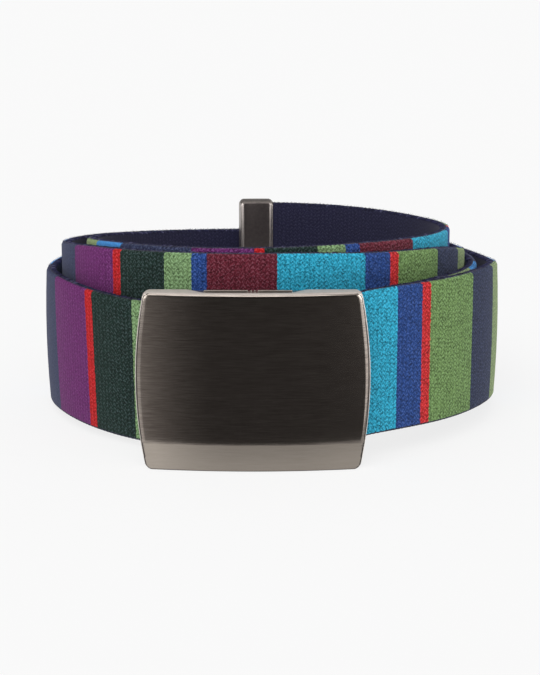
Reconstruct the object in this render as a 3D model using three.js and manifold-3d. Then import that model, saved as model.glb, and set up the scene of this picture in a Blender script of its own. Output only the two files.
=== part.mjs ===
// An elastic web belt with a plate buckle, coiled and standing on its edge.
// Millimetres, +Z up, the buckle faces -Y. The strap leaves the buckle's right end and winds inward,
// counter-clockwise seen from above, and ends in a metal tip on the inner turn.
import * as THREE from "three";
import { mergeVertices } from "three/addons/utils/BufferGeometryUtils.js";
import Module from "manifold-3d";

// Strap. Its start, end and step, and the reach over which its tangent is taken, are degrees round the coil.
const STRAP_WIDTH = 38;
const STRAP_THICKNESS = 2.8;
const STRAP_EDGE_RADIUS = 0.9;
const STRAP_START = 4;
const STRAP_END = 1270.2;
const STRAP_STEP = 6;
const COIL_DEPTH_RATIO = 0.909;
const TANGENT_REACH = 0.5;
const STRAP_CORNER_POINTS = 1;

// The coil. turn: degrees wound from the front, half_width: the outer face's reach on the X axis,
// top: height of the top edge, flare: how far the top edge stands out past the bottom edge.
const COIL_COLUMNS = ["turn", "half_width", "top", "flare"];
const COIL = [
  [4, 69.1, 42.8, 0],
  [14, 68.1, 42.6, 0],
  [23, 67, 44.5, 0],
  [45, 65.1, 44.2, 0],
  [70, 64, 43, 0],
  [98, 63, 39.4, 0],
  [122, 62.7, 38.4, 0],
  [180, 61.4, 38.1, 0],
  [250, 62.2, 38.2, 0],
  [270, 62.5, 38.9, 0],
  [294, 62.2, 40.3, 0.8],
  [326, 61.7, 39.7, 1.2],
  [360, 61.2, 39.6, 0.4],
  [382, 60, 42.2, 0],
  [405, 58.8, 42.7, 0],
  [430, 57.7, 41.7, 0],
  [450, 57.2, 40.6, 0],
  [485, 57.2, 39.2, 0],
  [540, 57.3, 38.6, 0],
  [577, 57.5, 40.2, 0],
  [630, 57.7, 45.7, 0],
  [670, 57.5, 50.6, 0],
  [720, 57.2, 52.8, 0],
  [750, 55.9, 51.4, 0],
  [778, 54.5, 49, 0],
  [815, 53.7, 43.2, 0],
  [900, 52.2, 39.7, 0],
  [945, 51.5, 41.6, 0],
  [970, 51.1, 44.4, 0],
  [990, 50.8, 46.6, 0],
  [1030, 50.6, 50.9, 0],
  [1080, 50.6, 53, 0],
  [1115, 50.2, 52.9, 0],
  [1170, 49.6, 50, 0],
  [1200, 49, 48.5, 0],
  [1240, 47.8, 48.4, 0],
  [1275, 46.8, 48.8, 0],
];

// Metal tip round the strap's free end. Its start, end and step and its end wall are degrees round the coil.
const TIP_START = 1259;
const TIP_END = 1271.4;
const TIP_STEP = 2;
const TIP_WALL = 0.55;
const TIP_END_WALL_TURN = 0.7;
const TIP_EDGE_RADIUS = 1.1;

// Buckle. Its own frame is centred across the plate, with y = 0 on the front and z = 0 at its foot.
const BUCKLE_X = -4.3;
const BUCKLE_FRONT_Y = -67;
const PLATE_HEIGHT = 46;
const PLATE_CORNER_HALF_WIDTH = 26.9;
const PLATE_SIDE_BULGE = 2.4;
const PLATE_CORNER_RADIUS = 1.6;
const PLATE_THICKNESS = 1;
const PLATE_CONVEX_RADIUS = 165;
const PLATE_FOOT_BAND = 7.3;
const PLATE_FOOT_SET_BACK = 0.8;
const PLATE_EDGE_ROLL = 1.3;
const PLATE_DEPTH = 5.4;
const PLATE_STATIONS = 20;
const PLATE_CORNER_POINTS = 4;

// The plate's head wall is cut away in the middle, from the rim to the back.
const CUTAWAY_LEFT = -16.7;
const CUTAWAY_RIGHT = 14;
const CUTAWAY_FRONT = 1.6;

const FRAME_HALF_WIDTH = 23;
const FRAME_FRONT = 2.2;
const FRAME_BACK = 9.7;
const FRAME_SHEET = 1;

// A lip on the frame's head wall, seen through the cut-away, with three small notches in it.
const LIP_LEFT = -12;
const LIP_RIGHT = 9.8;
const LIP_THICKNESS = 0.8;
const LIP_TOP = 45.9;
const LIP_NOTCH_MIDDLES = [-0.8, 0.1, 1];
const LIP_NOTCH_WIDTH = 0.6;
const LIP_NOTCH_DROP = 0.7;

const CLAMP_MIDDLE_X = 14.2;
const CLAMP_WIDTH = 5;
const CLAMP_THICKNESS = 0.6;
const ROLLER_X = -21.2;
const ROLLER_RADIUS = 1.15;
const ROLLER_SIDES = 20;

// The gap between pieces that touch, and how far a cutting shape runs past what it cuts
const SEAT_GAP = 0.3;
const CUT_MARGIN = 1;

const WEBBING = finish("webbing", 0x2b2c48, 0.95, 0);
const GUNMETAL = finish("gunmetal", 0x3a3531, 0.32, 1);
const NICKEL = finish("nickel", 0x958d84, 0.38, 1);

const wasm = await Module();
wasm.setup();

function finish(name, color, roughness, metalness) {
  return new THREE.MeshStandardMaterial({ name, color, roughness, metalness });
}

// Booleans on three.js geometries
function toSolid(geometry) {
  const bare = geometry.clone();
  bare.deleteAttribute("normal");
  bare.deleteAttribute("uv");
  const merged = mergeVertices(bare, 1e-4);
  return new wasm.Manifold(
    new wasm.Mesh({
      numProp: 3,
      vertProperties: new Float32Array(merged.attributes.position.array),
      triVerts: new Uint32Array(merged.index.array),
    }),
  );
}

function toGeometry(solid) {
  const mesh = solid.getMesh();
  const geometry = new THREE.BufferGeometry();
  geometry.setAttribute("position", new THREE.BufferAttribute(mesh.vertProperties, 3));
  geometry.setIndex(new THREE.BufferAttribute(mesh.triVerts, 1));
  geometry.computeVertexNormals();
  return geometry;
}

// Moves each vertex of a geometry to place(x, y, z).
function mapVertices(geometry, place) {
  const position = geometry.attributes.position;
  for (let i = 0; i < position.count; i += 1) {
    const moved = place(position.getX(i), position.getY(i), position.getZ(i));
    position.setXYZ(i, moved.x, moved.y, moved.z);
  }
  return geometry;
}

// A smooth curve through one column of the coil's table. The slope at each row is taken from its neighbours.
function coilValue(column, turn) {
  const c = COIL_COLUMNS.indexOf(column);
  const slopeAt = (row) => {
    const before = COIL[Math.max(row - 1, 0)];
    const after = COIL[Math.min(row + 1, COIL.length - 1)];
    return (after[c] - before[c]) / (after[0] - before[0]);
  };
  let row = 0;
  while (row < COIL.length - 2 && COIL[row + 1][0] < turn) row += 1;
  const [low, high] = [COIL[row], COIL[row + 1]];
  const span = high[0] - low[0];
  const t = (turn - low[0]) / span;
  const rise = t * t * (3 - 2 * t);
  const leave = t * (1 - t) * (1 - t);
  const arrive = t * t * (1 - t);
  return low[c] + (high[c] - low[c]) * rise + span * (slopeAt(row) * leave - slopeAt(row + 1) * arrive);
}

// Outer face of the strap, seen from above.
function coilPoint(turn) {
  const angle = THREE.MathUtils.degToRad(turn);
  const reach = coilValue("half_width", turn);
  return new THREE.Vector2(reach * Math.sin(angle), -COIL_DEPTH_RATIO * reach * Math.cos(angle));
}

// Bends a straight bar along the coil. Its x is the distance out from the strap's outer face, its y is the
// height above the strap's bottom edge, and its z is the degrees still to turn before the bar's end.
function bendAlongCoil(geometry, endTurn) {
  return mapVertices(geometry, (out, height, left) => {
    const turn = endTurn - left;
    const point = coilPoint(turn);
    const before = coilPoint(turn - TANGENT_REACH);
    const along = coilPoint(turn + TANGENT_REACH).sub(before).normalize();
    const lean = coilValue("flare", turn) * (height / STRAP_WIDTH - 0.5);
    const reach = out + lean;
    const bottom = coilValue("top", turn) - STRAP_WIDTH;
    return new THREE.Vector3(point.x + along.y * reach, point.y - along.x * reach, bottom + height);
  });
}

function roundedRectangle(left, bottom, right, top, radius) {
  const shape = new THREE.Shape();
  shape.absarc(right - radius, top - radius, radius, 0, Math.PI / 2, false);
  shape.absarc(left + radius, top - radius, radius, Math.PI / 2, Math.PI, false);
  shape.absarc(left + radius, bottom + radius, radius, Math.PI, 1.5 * Math.PI, false);
  shape.absarc(right - radius, bottom + radius, radius, 1.5 * Math.PI, 2 * Math.PI, false);
  shape.closePath();
  return shape;
}

// A bar round the strap's section, larger than it by the margin on every side.
function coilBar(margin, radius, startTurn, endTurn, stepTurn) {
  const section = roundedRectangle(-STRAP_THICKNESS - margin, -margin, margin, STRAP_WIDTH + margin, radius);
  const bar = new THREE.ExtrudeGeometry(section, {
    depth: endTurn - startTurn,
    steps: Math.ceil((endTurn - startTurn) / stepTurn),
    curveSegments: STRAP_CORNER_POINTS,
    bevelEnabled: false,
  });
  return bendAlongCoil(bar, endTurn);
}

function makeStrap() {
  return coilBar(0, STRAP_EDGE_RADIUS, STRAP_START, STRAP_END, STRAP_STEP);
}

// The tip is a cap: a bar outside the strap's section, less a pocket that leaves a seat gap round it.
function makeStrapTip() {
  const outside = coilBar(SEAT_GAP + TIP_WALL, TIP_EDGE_RADIUS, TIP_START, TIP_END, TIP_STEP);
  const pocketEnd = TIP_END - TIP_END_WALL_TURN;
  const pocket = coilBar(SEAT_GAP, STRAP_EDGE_RADIUS, TIP_START - CUT_MARGIN, pocketEnd, TIP_STEP);
  return toGeometry(toSolid(outside).subtract(toSolid(pocket)));
}

// How far the buckle curves back from its middle at x.
function bowAt(x) {
  return (x * x) / (2 * PLATE_CONVEX_RADIUS);
}

// The plate's outline from the front: straight top and foot, bulged sides, rounded corners.
function plateOutline(inset) {
  const half = PLATE_CORNER_HALF_WIDTH - inset;
  const top = PLATE_HEIGHT - inset;
  const middle = PLATE_HEIGHT / 2;
  const radius = PLATE_CORNER_RADIUS;
  const sideX = (z) => {
    const share = (z - middle) / middle;
    return half + PLATE_SIDE_BULGE * (1 - share * share);
  };
  const shape = new THREE.Shape();
  for (const side of [1, -1]) {
    const [startZ, endZ] = side > 0 ? [inset, top] : [top, inset];
    const turnIn = side > 0 ? radius : -radius;
    shape.lineTo(side * (sideX(startZ) - radius), startZ);
    shape.quadraticCurveTo(side * sideX(startZ), startZ, side * sideX(startZ + turnIn), startZ + turnIn);
    for (let i = 1; i <= PLATE_STATIONS; i += 1) {
      const z = THREE.MathUtils.lerp(startZ + turnIn, endZ - turnIn, i / PLATE_STATIONS);
      shape.lineTo(side * sideX(z), z);
    }
    shape.quadraticCurveTo(side * sideX(endZ), endZ, side * (sideX(endZ) - radius), endZ);
  }
  shape.closePath();
  return shape;
}

// Makes a prism of a front outline, from y = front to y = back.
function outlinePrism(outline, front, back) {
  const prism = new THREE.ExtrudeGeometry(outline, {
    depth: back - front,
    curveSegments: PLATE_CORNER_POINTS,
    bevelEnabled: false,
  });
  return prism.rotateX(Math.PI / 2).translate(0, back, 0);
}

// Makes a prism of a side section, a shape whose x is the depth behind the plate's front and whose y is the
// height, in steps along X, and bows it like the plate.
function bowedPrism(section, left, right) {
  const prism = new THREE.ExtrudeGeometry(section, {
    depth: right - left,
    steps: PLATE_STATIONS,
    curveSegments: PLATE_CORNER_POINTS,
    bevelEnabled: false,
  });
  return mapVertices(prism, (depth, height, along) => {
    const x = left + along;
    return new THREE.Vector3(x, depth + bowAt(x), height);
  });
}

// Side section of a sheet cover that is rolled back at its head and foot.
function plateSection(offset, depth) {
  const roll = PLATE_EDGE_ROLL - offset / 2;
  const [foot, top] = [offset, PLATE_HEIGHT - offset];
  const section = new THREE.Shape();
  section.moveTo(depth, foot);
  section.lineTo(depth, top);
  section.lineTo(offset + roll, top);
  section.quadraticCurveTo(offset, top, offset, top - roll);
  section.lineTo(offset, PLATE_FOOT_BAND);
  section.lineTo(offset + PLATE_FOOT_SET_BACK, foot + roll / 2);
  section.quadraticCurveTo(offset + PLATE_FOOT_SET_BACK, foot, offset + PLATE_FOOT_SET_BACK + roll / 2, foot);
  section.closePath();
  return section;
}

// A box between two corners.
function block(low, high) {
  const size = high.map((value, i) => value - low[i]);
  const box = new THREE.BoxGeometry(...size);
  return toSolid(box.translate(...low.map((value, i) => value + size[i] / 2)));
}

// The plate is a shallow box with a bowed front and a flat back, whose head wall is cut away in the middle.
function makePlate() {
  const reach = PLATE_CORNER_HALF_WIDTH + PLATE_SIDE_BULGE + CUT_MARGIN;
  const behind = PLATE_DEPTH + CUT_MARGIN;
  const body = toSolid(bowedPrism(plateSection(0, behind), -reach, reach));
  const outside = toSolid(outlinePrism(plateOutline(0), -CUT_MARGIN, PLATE_DEPTH));
  const hollow = toSolid(bowedPrism(plateSection(PLATE_THICKNESS, behind), -reach, reach));
  const inside = toSolid(outlinePrism(plateOutline(PLATE_THICKNESS), -CUT_MARGIN, behind));
  const cutaway = block(
    [CUTAWAY_LEFT, CUTAWAY_FRONT, PLATE_HEIGHT - PLATE_THICKNESS - CUT_MARGIN],
    [CUTAWAY_RIGHT, behind, PLATE_HEIGHT + CUT_MARGIN],
  );
  return toGeometry(body.intersect(outside).subtract(hollow.intersect(inside)).subtract(cutaway));
}

// Side section of the channel inside the plate: a web and two walls that run back. The strap lies in it.
function frameSection() {
  const wallOutside = PLATE_THICKNESS + SEAT_GAP;
  const wallInside = wallOutside + FRAME_SHEET;
  const past = FRAME_BACK + CUT_MARGIN;
  const foot = [
    [FRAME_FRONT, wallOutside],
    [past, wallOutside],
    [past, wallInside],
    [FRAME_FRONT + FRAME_SHEET, wallInside],
  ];
  const head = foot.map(([depth, height]) => [depth, PLATE_HEIGHT - height]).reverse();
  return new THREE.Shape([...foot, ...head].map(([depth, height]) => new THREE.Vector2(depth, height)));
}

function makeFrame() {
  const channel = toSolid(bowedPrism(frameSection(), -FRAME_HALF_WIDTH, FRAME_HALF_WIDTH));
  const room = block([-FRAME_HALF_WIDTH, 0, 0], [FRAME_HALF_WIDTH, FRAME_BACK, PLATE_HEIGHT]);
  const lipFoot = PLATE_HEIGHT - PLATE_THICKNESS - SEAT_GAP - FRAME_SHEET / 2;
  const lipFront = PLATE_DEPTH - LIP_THICKNESS;
  let lip = block([LIP_LEFT, lipFront, lipFoot], [LIP_RIGHT, PLATE_DEPTH, LIP_TOP]);
  for (const middle of LIP_NOTCH_MIDDLES) {
    const low = [middle - LIP_NOTCH_WIDTH / 2, lipFront - CUT_MARGIN, LIP_TOP - LIP_NOTCH_DROP];
    const high = [middle + LIP_NOTCH_WIDTH / 2, PLATE_DEPTH + CUT_MARGIN, LIP_TOP + CUT_MARGIN];
    lip = lip.subtract(block(low, high));
  }
  return toGeometry(channel.intersect(room).add(lip));
}

function makeClampBar() {
  const foot = PLATE_THICKNESS + FRAME_SHEET + 2 * SEAT_GAP;
  const top = PLATE_HEIGHT - foot;
  const front = FRAME_FRONT + FRAME_SHEET + SEAT_GAP;
  const back = front + CLAMP_THICKNESS;
  const section = new THREE.Shape();
  section.moveTo(front, foot);
  section.lineTo(back, foot);
  section.lineTo(back, top);
  section.lineTo(front, top);
  section.closePath();
  return bowedPrism(section, CLAMP_MIDDLE_X - CLAMP_WIDTH / 2, CLAMP_MIDDLE_X + CLAMP_WIDTH / 2);
}

function makeLockRoller() {
  const length = PLATE_HEIGHT - 2 * (PLATE_THICKNESS + FRAME_SHEET + 2 * SEAT_GAP);
  const middleY = FRAME_BACK - SEAT_GAP - ROLLER_RADIUS;
  const roller = new THREE.CylinderGeometry(ROLLER_RADIUS, ROLLER_RADIUS, length, ROLLER_SIDES);
  return roller.rotateX(Math.PI / 2).translate(ROLLER_X, middleY, PLATE_HEIGHT / 2);
}

function named(name, geometry, material) {
  const mesh = new THREE.Mesh(geometry, material);
  mesh.name = name;
  return mesh;
}

const buckle = new THREE.Group();
buckle.add(
  named("buckle_plate", makePlate(), GUNMETAL),
  named("buckle_frame", makeFrame(), NICKEL),
  named("clamp_bar", makeClampBar(), NICKEL),
  named("lock_roller", makeLockRoller(), NICKEL),
);
buckle.position.set(BUCKLE_X, BUCKLE_FRONT_Y, 0);

const coil = new THREE.Group();
coil.add(buckle, named("strap", makeStrap(), WEBBING), named("strap_tip", makeStrapTip(), GUNMETAL));

// The origin is under the middle of the belt's box, on the surface that it stands on.
const box = new THREE.Box3().setFromObject(coil, true);
const middle = box.getCenter(new THREE.Vector3());
coil.position.set(-middle.x, -middle.y, -box.min.z);

const belt = new THREE.Group();
belt.add(coil);

export default belt;
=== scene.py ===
"""The looks of a coiled elastic belt with a plate buckle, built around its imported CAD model."""

import math

import bmesh
import bpy
import numpy as np
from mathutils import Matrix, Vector


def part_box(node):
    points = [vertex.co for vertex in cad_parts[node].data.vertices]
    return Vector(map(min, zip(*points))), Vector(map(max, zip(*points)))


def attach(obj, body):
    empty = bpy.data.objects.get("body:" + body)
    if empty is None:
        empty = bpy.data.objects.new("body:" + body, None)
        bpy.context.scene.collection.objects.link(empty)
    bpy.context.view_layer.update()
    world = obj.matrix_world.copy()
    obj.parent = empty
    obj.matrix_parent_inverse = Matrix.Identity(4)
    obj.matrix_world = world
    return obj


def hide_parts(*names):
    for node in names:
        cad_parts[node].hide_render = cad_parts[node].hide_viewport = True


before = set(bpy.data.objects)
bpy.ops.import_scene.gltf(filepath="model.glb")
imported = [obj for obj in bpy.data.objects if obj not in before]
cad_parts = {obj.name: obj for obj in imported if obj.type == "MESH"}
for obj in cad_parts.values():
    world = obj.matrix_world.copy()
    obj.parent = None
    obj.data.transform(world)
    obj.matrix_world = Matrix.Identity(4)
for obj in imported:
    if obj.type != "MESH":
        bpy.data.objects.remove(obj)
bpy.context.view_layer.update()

MM = 0.001
BODY = "root"
SEED = 11

# Camera: stands in front of the buckle and looks down a little, as a product photo is taken
CAMERA_PLACE_MM = (-0.4, -517.0, 153.8)
CAMERA_DOWN_DEG = 14.6
CAMERA_LENS_MM = 102.3

# Strap. The coil's table holds, for each place: the degrees turned from the front, and in millimetres half of
# the coil's width there, the height of the strap's top edge, and how far that edge leans out
STRAP_WIDTH = 38.0
STRAP_THICKNESS = 2.8
STRAP_EDGE_RADIUS = 0.9
STRAP_START, STRAP_END = 4.0, 1270.2
COIL_DEPTH_RATIO = 0.909
COIL = np.array([
    (4, 69.1, 42.8, 0), (14, 68.1, 42.6, 0), (23, 67, 44.5, 0), (45, 65.1, 44.2, 0), (70, 64, 43, 0),
    (98, 63, 39.4, 0), (122, 62.7, 38.4, 0), (180, 61.4, 38.1, 0), (250, 62.2, 38.2, 0),
    (270, 62.5, 38.9, 0), (294, 62.2, 40.3, 0.8), (326, 61.7, 39.7, 1.2), (360, 61.2, 39.6, 0.4),
    (382, 60, 42.2, 0), (405, 58.8, 42.7, 0), (430, 57.7, 41.7, 0), (450, 57.2, 40.6, 0),
    (485, 57.2, 39.2, 0), (540, 57.3, 38.6, 0), (577, 57.5, 40.2, 0), (630, 57.7, 45.7, 0),
    (670, 57.5, 50.6, 0), (720, 57.2, 52.8, 0), (750, 55.9, 51.4, 0), (778, 54.5, 49, 0),
    (815, 53.7, 43.2, 0), (900, 52.2, 39.7, 0), (945, 51.5, 41.6, 0), (970, 51.1, 44.4, 0),
    (990, 50.8, 46.6, 0), (1030, 50.6, 50.9, 0), (1080, 50.6, 53, 0), (1115, 50.2, 52.9, 0),
    (1170, 49.6, 50, 0), (1200, 49, 48.5, 0), (1240, 47.8, 48.4, 0), (1275, 46.8, 48.8, 0),
], float)
TURN, HALF_WIDTH, TOP, FLARE = range(4)
FINE_TURN_STEP = 0.25

# Webbing is drawn tight round the coil's two ends. The outer turn is cupped there, and the face is smoother
CUPPING = 0.65
TIGHT_ENDS = (90.0, 270.0)
TIGHT_REACH_DEG = 42.0
# How much of the stitches' texture is lost at both ends. Then degrees away from the coil's left end, and how
# strong the texture is there at most
LOOSE_LOSS = 0.55
TEXTURE_AT_LEFT = ((0, 36, 52), (0.28, 0.36, 1.0))

# Knit: upright columns of stitches across the strap's width
COLUMN_PITCH = 1.25
STATIONS_PER_COLUMN = 4
FACE_POINTS = 5
CORNER_STEPS_DEG = (0, 45, 90)
COLUMN_RELIEF = 0.05
BACK_RELIEF_SHARE = 0.6
EDGE_SERRATION = 0.1
EDGE_UNEVENNESS = 0.03
STITCH_PITCH = 1.1
LEG_SLANT = 1.3
# Small patterns of the webbing, as the scale of each noise for each millimetre
WANDER_SCALE, CELL_SCALE, GRAIN_SCALE, DRIFT_SCALE, FINE_SCALE = 1.4, 1.9, 2.6, 0.8, 4.2
# How far the border between two stripes wanders, and the columns drift, for each unit of their noise
WANDER_REACH, DRIFT_REACH = 0.55, 0.5
# Parts of the relief beside the grain. Then the relief where the painted shade is darkest, where the painted
# highlight starts, and where it is palest
LEG_RELIEF, FINE_RELIEF, RIDGE_RELIEF = 0.14, 0.8, 0.13
LOW_RELIEF, PALE_RELIEF, HIGH_RELIEF = 0.7, 1.02, 1.25

# Selvage: turns of yarn round the strap's two edges, and stray fibres that stand up from them
SELVAGE = {"Pitch": 0.46, "Radius": 0.82, "Flatness": 0.44, "Yarn": 0.14, "Seed": 3}
SELVAGE_MIDDLE = 1.85
SELVAGE_INSET = 0.45
SELVAGE_LEAN = 0.3
SELVAGE_SIZES = (0.9, 0.97, 0.75), (1.3, 1.03, 1.3)
FIBRES = {"Pitch": 0.35, "Length": 0.4, "Thickness": 0.03, "Seed": 5}
FIBRE_INSET, FIBRE_DROP = 0.5, 0.1
FIBRE_LEANS = (-1.2, -1.2, 0.0), (1.2, 1.2, 6.3)
FIBRE_SIZES = 0.4, 1.0
FIBRE_DARKEST = 0.75
TONE_SEED_STEP = 7.0

# Stripes, as (width in millimetres, colour), one repeat, starting where the first navy bar does
STRIPE_REPEAT = 178.09
STRIPE_START = 100.4
# Places along the strap, and how far the stretch of the elastic has moved the stripes there
STRIPE_SLIDE = (
    (0, 30, 40, 57, 70, 200, 300, 320, 335, 600, 656, 672, 690, 721, 771, 977, 1030, 1076, 1098),
    (-3.6, -3.6, -3.1, -1.3, 0.5, 0, 0, 0.5, 0.4, -1.4, -1.5, 0, 0.1, -0.2, -0.7, 0.2, -0.1, -0.9, -2),
)
STRIPES = (
    (23.4, "2c324e"), (17.4, "5e1f5c"), (2.8, "aa1013"), (14.2, "10251f"), (7.3, "718f61"),
    (4.8, "214181"), (17.8, "5e1a29"), (24.1, "2498b7"), (7.7, "1c3d7b"), (2.8, "ba1e20"),
    (16.8, "67854c"), (12.8, "202844"), (14.9, "7f9263"), (14.0, "3c82c3"),
)
INSIDE_COLOUR = "1d1c33"
# The dyed face: its height above the strap's lower edge, and its least share of being outside. Below that
# height the lower edge is navy: partly the strap's own navy edge, partly painted shade along the bottom
DYED_FROM = 0.7
DYED_OUTSIDE = 0.95

# Size of the metals' brush pattern along Y
BRUSH_DEPTH = 2.0

# Buckle, as in the CAD model
BUCKLE_X, BUCKLE_FRONT_Y = -4.3, -67.0
PLATE_HEIGHT = 46.0
PLATE_CORNER_HALF_WIDTH = 26.9
PLATE_SIDE_BULGE = 2.4
PLATE_CORNER_RADIUS = 1.6
PLATE_THICKNESS = 1.0
PLATE_CONVEX_RADIUS = 165.0
PLATE_FOOT_BAND = 7.3
PLATE_FOOT_SET_BACK = 0.8
PLATE_FOOT_LEVEL = 0.65
PLATE_DEPTH = 5.4
CUTAWAY_LEFT, CUTAWAY_RIGHT = -16.7, 14.0
CUTAWAY_FRONT = 1.6
CUTAWAY_WALL = 1.35
CUTAWAY_SLOPE = 5.0
# Radius of the plate's rolled edge at each height
ROLL_AT_HEIGHT = ((0, 2, 8, 38, 44, 46), (0.75, 0.8, 1.3, 1.3, 1.05, 1.05))
# The plate's grid: the band that the roll takes and its steps, half of the crease, and rows and columns
ROLL_REACH, ROLL_STEPS = 1.9, 14
CREASE_HALF = 0.06
FOOT_ROWS, FACE_ROWS, FACE_COLUMNS = 8, 40, 61
# The plate's finishes, with painted light on the pale rim and painted shade on the dark outline, and how far
# a face looks ahead or up, as parts of its normal, where they change
RIM, OUTLINE, FOOT = 1, 2, 3
RIM_AHEAD, RIM_UP = 0.5, 0.72
OUTLINE_AHEAD, OUTLINE_AHEAD_AT_FOOT, OUTLINE_UP = 0.72, 0.8, 0.5
FOOT_AHEAD = 0.9

# Tip clip: where it starts and ends on the coil, how far it stands out from the strap, and its rolled ends
TIP_START, TIP_END = 1259.0, 1271.4
TIP_MARGIN = 0.85
TIP_LEAST_MARGIN = 0.1
TIP_CORNER_RADIUS = 1.1
TIP_CORNER_POINTS = 7
TIP_ROLL, TIP_ROLL_STEPS = 1.4, 8
# Faces that take painted shade on the clip's top and a painted highlight at its rolled ends, and how far a
# normal turns towards them
TIP_TOP, TIP_EDGE = 1, 2
TIP_TURNED = 0.3

# Distances in millimetres within which points are joined, and the least depth of the plate's walls
COVER_MERGE, COPY_MERGE, LEAST_WALL = 0.004, 0.002, 0.1
# Angles in degrees: where an edge looks sharp, where it gets a bevel, and what counts as flat
COVER_SHARP_DEG, TIP_SHARP_DEG, COPY_SHARP_DEG = 40, 50, 35
BEVEL_FROM_DEG, COPY_FLAT_DEG = 40, 0.5
# Pieces that are the CAD solids with their edges broken: solid, piece, bevel in millimetres
BROKEN_EDGES = (("buckle_frame", "buckle_channel", 0.12),
                ("clamp_bar", "strap_clamp", 0.1),
                ("lock_roller", "lock_pin", 0.1))

# Studio: floor, a ring of backdrop that only the camera sees, sky and sun
FLOOR_SIZE, FLOOR_GREY, FLOOR_GLOW = 8000, 0.14, 0.8
BACKDROP_RADIUS, BACKDROP_HEIGHT, BACKDROP_GLOW = 3900, 2500, 0.95
SKY_STRENGTH = 0.68
SUN_STRENGTH, SUN_SPREAD_DEG, SUN_TURN_DEG = 1.7, 50, (42, 0, -15)
# Soft boxes beside the belt that only the metal's reflections see: name, place, size, turn, strength
LIGHT_STRIPS = (
    ("left_strip", (-420, -220, 180), (360, 640), (0, 90, 0), 3.6),
    ("right_strip", (420, -220, 180), (360, 640), (0, -90, 0), 6.0),
)
# Dark cards, on the floor in front and standing behind the camera, make the buckle's face dark, and a light
# one close to the buckle shades its foot band: name, kind, and the two opposite corners
CARDS = (
    ("dark_floor_card", "dark", (-250, -699, 0.6), (370, -79, 0.6)),
    ("dark_wall_card", "dark", (-390, -700, 0), (510, -700, 520)),
    ("light_floor_card", "foot", (-90, -78.9, 0.5), (80, -57, 0.5)),
)
# The convex plate spreads what it reflects, by this much for each metre that lies in front of it. The plate
# lies this many metres in front of the origin, and its left edge is at this X, in metres too
PLATE_SPREAD = 14.3
PLATE_TO_MIDDLE = 0.061
PLATE_LEFT_EDGE = -0.033
# Where a card's tone changes, as seen across the plate, in millimetres from its middle
LEFT_FADE, LEFT_BESIDE, RIGHT_BESIDE = (-8, -31), (-27.2, -31), (34.5, 39)
FOOT_LEFT_FADE, FOOT_RIGHT_FADE = (-4, -25.5), (12, 24)
# Distances from the plate's left edge, in millimetres, over which the card goes dark and is lit again
BESIDE_DARKENS, BESIDE_LIGHTENS = (95, 125), (142, 152)
RIGHT_GLOW = 0.8
# The light card's glow in the middle and at the right, at the left, and what is added towards the foot, and
# over which Y in millimetres
FOOT_GLOWS, FOOT_LEFT_GLOW, FOOT_CLOSE_GLOW = (0.74, 0.83), 1.34, 0.14
FOOT_CLOSE = (-69, -63)


def linear(hex_colour, gain=1.0):
    """Turns an sRGB hex colour to the linear RGBA that a shader reads."""
    channels = []
    for i in (0, 2, 4):
        c = int(hex_colour[i:i + 2], 16) / 255
        channels.append(gain * (c / 12.92 if c <= 0.04045 else ((c + 0.055) / 1.055) ** 2.4))
    return (*channels, 1.0)


def put(tree, kind, inputs=None, **settings):
    """Adds a node with its settings. Each input is a value, or the socket that it takes its value from."""
    node = tree.nodes.new(kind)
    for name, value in settings.items():
        setattr(node, name, value)
    for key, value in (inputs or {}).items():
        if isinstance(value, bpy.types.NodeSocket):
            tree.links.new(value, node.inputs[key])
        else:
            node.inputs[key].default_value = value
    return node


def math_node(tree, operation, *values):
    return put(tree, "ShaderNodeMath", dict(enumerate(values)), operation=operation).outputs[0]


def new_material(name):
    material = bpy.data.materials.new(name)
    material.use_nodes = True
    tree = material.node_tree
    return material, tree, tree.nodes["Principled BSDF"]


# ---- materials ----

def attribute(tree, name):
    return put(tree, "ShaderNodeAttribute", attribute_name=name).outputs["Fac"]


def spread(tree, value, low, high, to_low=0.0, to_high=1.0):
    """Stretches the values between low and high to a new range."""
    sizes = {"Value": value, "From Min": low, "From Max": high, "To Min": to_low, "To Max": to_high}
    return put(tree, "ShaderNodeMapRange", sizes).outputs["Result"]


def mix_colour(tree, share, below, above):
    """Mixes two colours, each a socket or an sRGB hex string."""
    node = put(tree, "ShaderNodeMix", data_type="RGBA")
    for key, value in (("Factor", share), ("A", below), ("B", above)):
        if isinstance(value, bpy.types.NodeSocket):
            tree.links.new(value, node.inputs[key])
        else:
            node.inputs[key].default_value = linear(value) if isinstance(value, str) else value
    return node.outputs["Result"]


def noise(tree, place, scale, detail, roughness=0.5):
    sizes = {"Vector": place, "Scale": scale, "Detail": detail, "Roughness": roughness}
    return put(tree, "ShaderNodeTexNoise", sizes).outputs["Fac"]


def times(tree, colour, level):
    return put(tree, "ShaderNodeVectorMath", {0: colour, "Scale": level}, operation="SCALE").outputs[0]


def bumped(tree, shader, height, strength, distance_mm):
    """Gives a shader's surface the look of a relief."""
    sizes = {"Height": height, "Strength": strength, "Distance": distance_mm * MM}
    tree.links.new(put(tree, "ShaderNodeBump", sizes).outputs["Normal"], shader.inputs["Normal"])


def glow(shader, strength):
    """Lets a card or wall give white light. The strength is a number or a socket."""
    shader.inputs["Emission Color"].default_value = linear("ffffff")
    if isinstance(strength, bpy.types.NodeSocket):
        shader.id_data.links.new(strength, shader.inputs["Emission Strength"])
    else:
        shader.inputs["Emission Strength"].default_value = strength


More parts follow.
